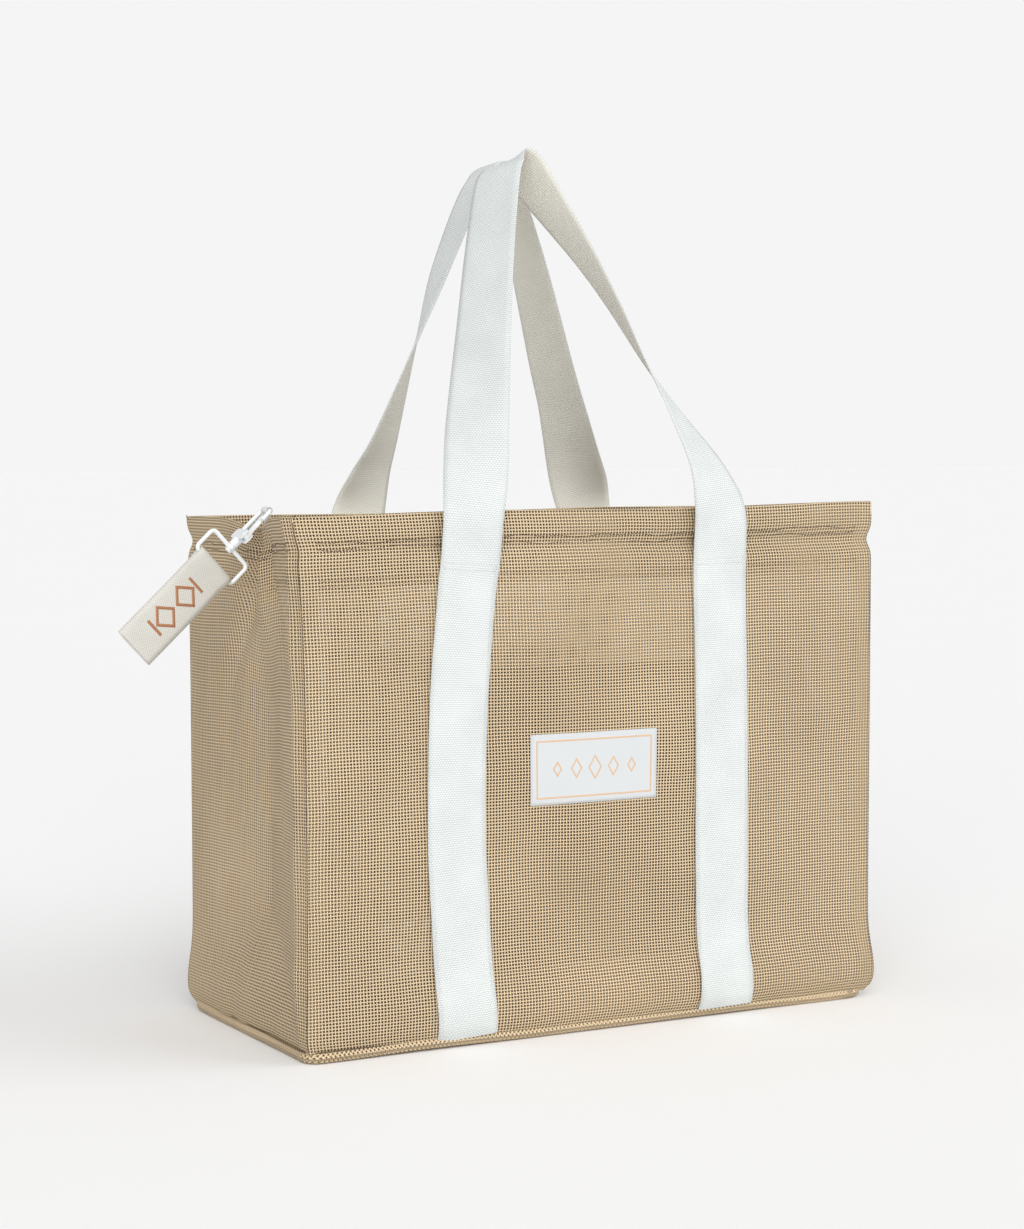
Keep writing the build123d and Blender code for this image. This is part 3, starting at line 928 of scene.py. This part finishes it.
def loop_route(left, right, free, side):
    """A loop's centre points, width directions and face directions, from its left foot to its right."""
    keys = sewn_keys(left, side)
    keys += [(x * MM, y * MM, z * MM, radians(turn), radians(tip)) for x, y, z, turn, tip in free]
    keys += [(x, y, z, pi, 0.0) for x, y, z, turn, tip in reversed(sewn_keys(right, side))]
    rows = spline(keys, 14)
    points = [Vector(row[:3]) for row in rows]
    sides = []
    normals = []
    for k, row in enumerate(rows):
        along = (points[min(k + 1, len(points) - 1)] - points[max(k - 1, 0)]).normalized()
        level = Vector((-cos(row[3]), -side * sin(row[3]), 0))
        width = level * cos(row[4]) - UP * sin(row[4])
        width = (width - along * width.dot(along)).normalized()
        sides.append(width)
        normals.append(width.cross(along).normalized())
    return points, sides, normals


def strap_stitches(route, sides, side):
    """Stitch rows down both edges of the sewn stretches and across at the tack line."""
    out = Vector((0, side, 0))
    lift = out * (WEBBING / 2)
    half = STRAP_WIDTH / 2 - 2.2 * MM
    middle = len(route) // 2
    sewn = [k for k in range(len(route)) if route[k].z < TACK_Z]
    left = [k for k in sewn if k < middle]
    right = [k for k in sewn if k > middle]
    runs = []
    for stretch, top in ((left, left[-1]), (right, right[0])):
        for edge in (-half, half):
            runs.append([(route[k] + sides[k] * edge + lift, out) for k in stretch])
        for drop in (0, 4 * MM):
            start = route[top] + lift - UP * drop
            runs.append([(start + sides[top] * half * (share * 2 - 1), out) for share in shares(12)])
    return runs


def build_loop(wall, side, left, right, free):
    """One webbing loop: both sewn straps and the free handle between them, with its inner face painted paler
    and warmer as painted light.
    """
    route, sides, normals = loop_route(left, right, free, side)
    piece = band(f"{wall}_loop", route, sides, normals, STRAP_WIDTH, WEBBING, LOOP_SEGMENTS)
    piece.data.materials.append(STRAP_CLOTH)
    piece.data.materials.append(STRAP_INNER_LIT)
    around = 2 * (LOOP_SEGMENTS + 1)
    press_to_wall(piece, route, around, side)
    # Faces on the loop's inner side take the paler copy, painted light
    for face in piece.data.polygons:
        places = [index % around for index in face.vertices]
        first_half = max(places) <= LOOP_SEGMENTS
        second_half = min(places) > LOOP_SEGMENTS
        if (first_half and side < 0) or (second_half and side > 0):
            face.material_index = 1
    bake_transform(piece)
    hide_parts(f"{wall}_left_strap", f"{wall}_right_strap", f"{wall}_handle")
    runs = strap_stitches(route, sides, side)
    sewn = threads(f"{wall}_loop_stitches", runs, 2.6 * MM, WHITE_THREAD, 0.24 * MM)


# ---- label

HALF_U = (label_high.x - label_low.x) / 2
HALF_V = (label_high.z - label_low.z) / 2


def on_label(u, v, lift):
    """A point over the label's middle by u and v metres, lifted off the front cloth."""
    x = (label_low.x + label_high.x) / 2 + u
    z = (label_low.z + label_high.z) / 2 + v
    across = (x + HALF_LENGTH) / LENGTH
    return wall_point(-1, across, z) + Vector((0, -lift, 0))


def label_frame(inset):
    """Corners of a rectangle that far inside the label's edge."""
    u = HALF_U - inset
    v = HALF_V - inset
    return [(-u, -v), (u, -v), (u, v), (-u, v)]


def label_patch():
    """The label's body: two layers joined round the edge, with the outer one's edge pressed down."""
    across, along = 40, 20
    face_lift = 0.75 * MM
    verts = []
    uvs = []
    for lift in (face_lift, 0.2 * MM):
        for t in shares(along):
            for s in shares(across):
                u = (s * 2 - 1) * HALF_U
                v = (t * 2 - 1) * HALF_V
                edge = min(HALF_U - abs(u), HALF_V - abs(v))
                soft = 0.35 * MM * max(0.0, 1 - edge / (1.5 * MM)) if lift == face_lift else 0.0
                verts.append(on_label(u, v, lift - soft))
                uvs.append((u, v))
    layer = (across + 1) * (along + 1)
    faces = grid_faces(across, along)
    faces += [tuple(layer + n for n in reversed(face)) for face in faces]
    edge = list(range(across + 1))
    edge += [j * (across + 1) + across for j in range(1, along + 1)]
    edge += [along * (across + 1) + i for i in range(across - 1, -1, -1)]
    edge += [j * (across + 1) for j in range(along - 1, 0, -1)]
    for k, n in enumerate(edge):
        after = edge[(k + 1) % len(edge)]
        faces.append((after, n, n + layer, after + layer))
    return link("label_patch", verts, faces, uvs)


def label_print():
    """A fine printed frame and a plain row of diamonds."""
    printed = [(label_frame(5.0 * MM), 1.15 * MM)]
    for number in range(-2, 3):
        middle = number * 15 * MM
        tall = (8.0 - 1.6 * abs(number)) * MM
        wide = tall * 0.62
        printed.append(([(middle - wide, 0), (middle, -tall), (middle + wide, 0), (middle, tall)], 1.1 * MM))
    pieces = []
    for number, (points, width) in enumerate(printed):
        piece = inlay(
            f"label_print_{number}", points, width, lambda u, v, height: on_label(u, v, 0.81 * MM + height)
        )
        carry(piece, "bag", PEACH_INK)
        pieces.append(piece)
    return pieces


def build_label():
    """Sewn patch with its print and a stitched edge."""
    patch = label_patch()
    pieces = label_print()
    corners = label_frame(1.8 * MM)
    runs = []
    for k, (u, v) in enumerate(corners):
        after = corners[(k + 1) % 4]
        run = []
        for share in shares(24):
            point = on_label(u + (after[0] - u) * share, v + (after[1] - v) * share, 0.72 * MM)
            run.append((point, Vector((0, -1, 0))))
        runs.append(run)
    pieces.append(threads("label_stitches", runs, 2.0 * MM, WHITE_THREAD, 0.2 * MM))
    finish_cloth(patch, LABEL_CLOTH, "label")


def inlay(name, points, width, place, closed=True, lift=0.12 * MM):
    """A raised line of even width along flat points, laid on a surface by place(u, v, height)."""
    count = len(points)
    inner = []
    outer = []
    for k, (u, v) in enumerate(points):
        before = points[k - 1] if closed or k else points[k]
        after = points[(k + 1) % count] if closed or k < count - 1 else points[k]
        first = Vector((u - before[0], v - before[1])).normalized()
        second = Vector((after[0] - u, after[1] - v)).normalized()
        first = first if first.length else second
        second = second if second.length else first
        side = Vector((-first.y - second.y, first.x + second.x)).normalized()
        reach = width / 2 / max(0.35, side.dot(Vector((-first.y, first.x))))
        inner.append(Vector((u, v)) + side * reach)
        outer.append(Vector((u, v)) - side * reach)
    verts = []
    uvs = []
    spans = count if closed else count - 1
    faces = []
    run = 0.0
    for k in range(spans):
        a, b = k, (k + 1) % count
        length = (Vector(points[b]) - Vector(points[a])).length
        steps = max(1, int(length / (3 * MM)))
        for step in range(steps):
            start = len(verts)
            for share in (step / steps, (step + 1) / steps):
                left = inner[a].lerp(inner[b], share)
                right = outer[a].lerp(outer[b], share)
                for t, height in ((0.0, -0.5), (0.12, 0.7), (0.5, 1.0), (0.88, 0.7), (1.0, -0.5)):
                    verts.append(place(*left.lerp(right, t), lift * height))
                    uvs.append((t * width, run + length * share))
            faces += [(start + i, start + i + 1, start + 6 + i, start + 5 + i) for i in range(4)]
        run += length
    return link(name, verts, faces, uvs)


# ---- fob

PIVOT = Vector(JOINTS["fob_swing"]["pos_m"])
BAR = Vector(JOINTS["strap_tilt"]["pos_m"])
ALONG = (BAR - PIVOT).normalized()
ACROSS = Vector((ALONG.z, 0, -ALONG.x))
FRONT = Vector((0, -1, 0))
FOB_WIDTH = 32 * MM
FOB_LENGTH = 80 * MM
FOB_LAYER = 1.5 * MM
# Half the distance between the folded layers' middles, round the ring's bar and where they lie shut
FOB_OPEN = 2.75 * MM
FOB_SHUT = 0.85 * MM


def fob_gap(run):
    """Half the distance between the folded webbing's two middles, at a distance past the ring's bar."""
    share = min(1.0, run / (9 * MM))
    return FOB_OPEN + (FOB_SHUT - FOB_OPEN) * (share * share * (3 - 2 * share))


def fob_bend(run):
    """How far the fob bows to the front, at a distance past the ring's bar."""
    share = max(run, 0) / FOB_LENGTH
    return 0.9 * MM * sin(pi * min(share, 1.0)) + 0.6 * MM * share**2


def on_fob(u, v, height):
    """A point over the fob's front face."""
    return BAR + ALONG * u + ACROSS * v + FRONT * (fob_gap(u) + fob_bend(u) + FOB_LAYER / 2 + height)


def fob_strap():
    """The webbing folded in half round the ring's bar."""
    layer = [(run, fob_gap(run)) for run in [k * 2 * MM for k in range(1, 41)]]
    centre = layer[::-1]
    centre += [(-FOB_OPEN * sin(pi * share), FOB_OPEN * cos(pi * share)) for share in shares(12)]
    centre += [(run, -gap) for run, gap in layer]
    for share in shares(6)[1:-1]:
        centre.append((FOB_LENGTH + FOB_SHUT * sin(pi * share), -FOB_SHUT * cos(pi * share)))
    route = []
    normals = []
    for k, (u, y) in enumerate(centre):
        before = centre[k - 1]
        after = centre[(k + 1) % len(centre)]
        route.append(BAR + ALONG * u + FRONT * (y + fob_bend(u)))
        direction = (ALONG * (after[0] - before[0]) + FRONT * (after[1] - before[1])).normalized()
        normals.append(ACROSS.cross(direction).normalized())
    sides = [ACROSS] * len(route)
    return band("fob_strap_cloth", route, sides, normals, FOB_WIDTH, FOB_LAYER, 8, closed=True)


def fob_motifs():
    """Plain copper embroidery: two diamonds between two bars."""
    drawn = []
    for number, middle in enumerate((30, 50)):
        points = [(middle - 8, 0), (middle, 9), (middle + 8, 0), (middle, -9)]
        drawn.append((f"fob_motif_{number}", points, True))
    for number, middle in enumerate((19, 61)):
        drawn.append((f"fob_bar_{number}", [(middle, -7), (middle, 7)], False))
    pieces = []
    for name, points, closed in drawn:
        outline = [(u * MM, v * MM) for u, v in points]
        piece = inlay(name, outline, 2.3 * MM, on_fob, closed=closed, lift=0.35 * MM)
        carry(piece, "fob_strap", COPPER_THREAD)
        pieces.append(piece)
    return pieces


def build_fob():
    """Folded webbing on the ring, with its embroidery and a stitched throat."""
    strap = fob_strap()
    pieces = fob_motifs()
    runs = []
    for u in (9.5 * MM, 12.5 * MM):
        for face in (1, -1):
            through = FRONT * 2 * (fob_gap(u) + FOB_LAYER / 2) if face < 0 else Vector((0, 0, 0))
            run = []
            for share in shares(16):
                v = (share * 2 - 1) * (FOB_WIDTH / 2 - 1.5 * MM)
                run.append((on_fob(u, v, 0.0) - through, FRONT * face))
            runs.append(run)
    pieces.append(threads("fob_stitches", runs, 2.2 * MM, WHITE_THREAD, 0.22 * MM, "fob_strap"))
    finish_cloth(
        strap, FOB_CLOTH, "fob_webbing", "fob_strap"
    )


def build_tab():
    """Narrow tape folded round the hook's end wire, with its tails sewn inside the left rim."""
    eye = 2.3 * MM
    width = tab_high.y - tab_low.y
    tape = 0.7 * MM
    half_gap = 0.4 * MM
    tail = PIVOT.z - tab_low.z
    heights = [-tail + (tail - 4.5 * MM) * k / 10 for k in range(10)]
    rows = [(half_gap, height) for height in heights]
    for share in shares(16):
        angle = -pi / 2 + 0.25 + (2 * pi - 0.5) * share
        rows.append((eye * cos(angle), eye * sin(angle)))
    rows += [(-half_gap, height) for height in reversed(heights)]
    route = [PIVOT + Vector((x, 0, z)) for x, z in rows]
    sides = [Vector((0, 1, 0))] * len(route)
    normals = []
    for k in range(len(route)):
        along = (route[min(k + 1, len(route) - 1)] - route[max(k - 1, 0)]).normalized()
        normals.append(Vector((0, 1, 0)).cross(along).normalized())
    piece = band("fob_tab_tape", route, sides, normals, width, tape, 4)
    carry(piece, "bag", TAPE_CLOTH)
    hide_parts("fob_tab")
    runs = []
    for drop in (9 * MM, 24 * MM):
        run = []
        for share in shares(4):
            y = (share * 2 - 1) * (width / 2 - 1.2 * MM)
            run.append((PIVOT + Vector((half_gap + tape / 2, y, -drop)), Vector((1, 0, 0))))
        runs.append(run)
    threads("fob_tab_stitches", runs, 1.8 * MM, WHITE_THREAD, 0.2 * MM)


def finish_metal():
    """Gloss white coat on the hook, gate, pin, rivet and ring, and bright steel on the spring."""
    for name in ("hook_body", "hook_gate", "gate_pin", "swivel_rivet", "swivel_ring", "gate_spring"):
        node = frame["nodes"][name]
        node.data.materials.clear()
        node.data.materials.append(STEEL if name == "gate_spring" else WHITE_METAL)


# ---- studio

def build_floor():
    """Pale floor with a faint mottle."""
    corners = [(-1, -1), (1, -1), (1, 1), (-1, 1)]
    floor = link("studio_floor", [(x * FLOOR_HALF, y * FLOOR_HALF, 0) for x, y in corners], [(0, 1, 2, 3)])
    material, tree, shader = nodes_of("studio_paper")
    where = tree.nodes.new("ShaderNodeTexCoord").outputs["Object"]
    tint(tree, shader, noise_of(tree, where, 3.0), (0.915, 0.915, 0.915), (0.925, 0.925, 0.925))
    settle(shader, Roughness=0.9, Specular_IOR_Level=0.0)
    floor.data.materials.append(material)


def build_light():
    """An even surround, which the camera sees as a plain backdrop, and three soft suns."""
    world = bpy.data.worlds.new("studio")
    world.use_nodes = True
    SCENE.world = world
    tree = world.node_tree
    surround = tree.nodes["Background"]
    settle(surround, Color=(1.0, 1.0, 1.0, 1), Strength=AMBIENT)
    backdrop = tree.nodes.new("ShaderNodeBackground")
    settle(backdrop, Color=(BACKDROP, BACKDROP, BACKDROP, 1))
    rays = tree.nodes.new("ShaderNodeLightPath").outputs["Is Camera Ray"]
    mix_shaders(tree, rays, surround, backdrop, "World Output")
    for name, energy, angle, source in (
        ("key_light", KEY, 45, (-0.265, -0.655, 0.707)),
        ("fill_light", FILL, 50, (-0.52, -0.82, 0.14)),
        ("side_light", SIDE, 60, (0.75, -0.55, 0.35)),
    ):
        light = bpy.data.lights.new(name, "SUN")
        light.energy = energy
        light.angle = radians(angle)
        lamp = bpy.data.objects.new(name, light)
        lamp.rotation_euler = Vector(source).to_track_quat("Z", "Y").to_euler()
        SCENE.collection.objects.link(lamp)


def place_camera():
    """The camera, and plain colours."""
    level = cos(ELEVATION)
    back = Vector((sin(AZIMUTH) * level, -cos(AZIMUTH) * level, sin(ELEVATION)))
    data = bpy.data.cameras.new("camera")
    data.lens = LENS
    data.sensor_width = 36
    camera = bpy.data.objects.new("camera", data)
    camera.location = TARGET + back * DISTANCE
    camera.rotation_euler = back.to_track_quat("Z", "Y").to_euler()
    SCENE.collection.objects.link(camera)
    SCENE.camera = camera
    SCENE.view_settings.view_transform = "Standard"


build_walls()
build_corner_strips()
build_corner_seams()
build_base()
build_pockets()
build_loop("front", -1, FRONT_LEFT, FRONT_RIGHT, FRONT_FREE)
build_loop("back", 1, BACK_LEFT, BACK_RIGHT, BACK_FREE)
build_label()
build_fob()
build_tab()
finish_metal()
build_floor()
build_light()
place_camera()
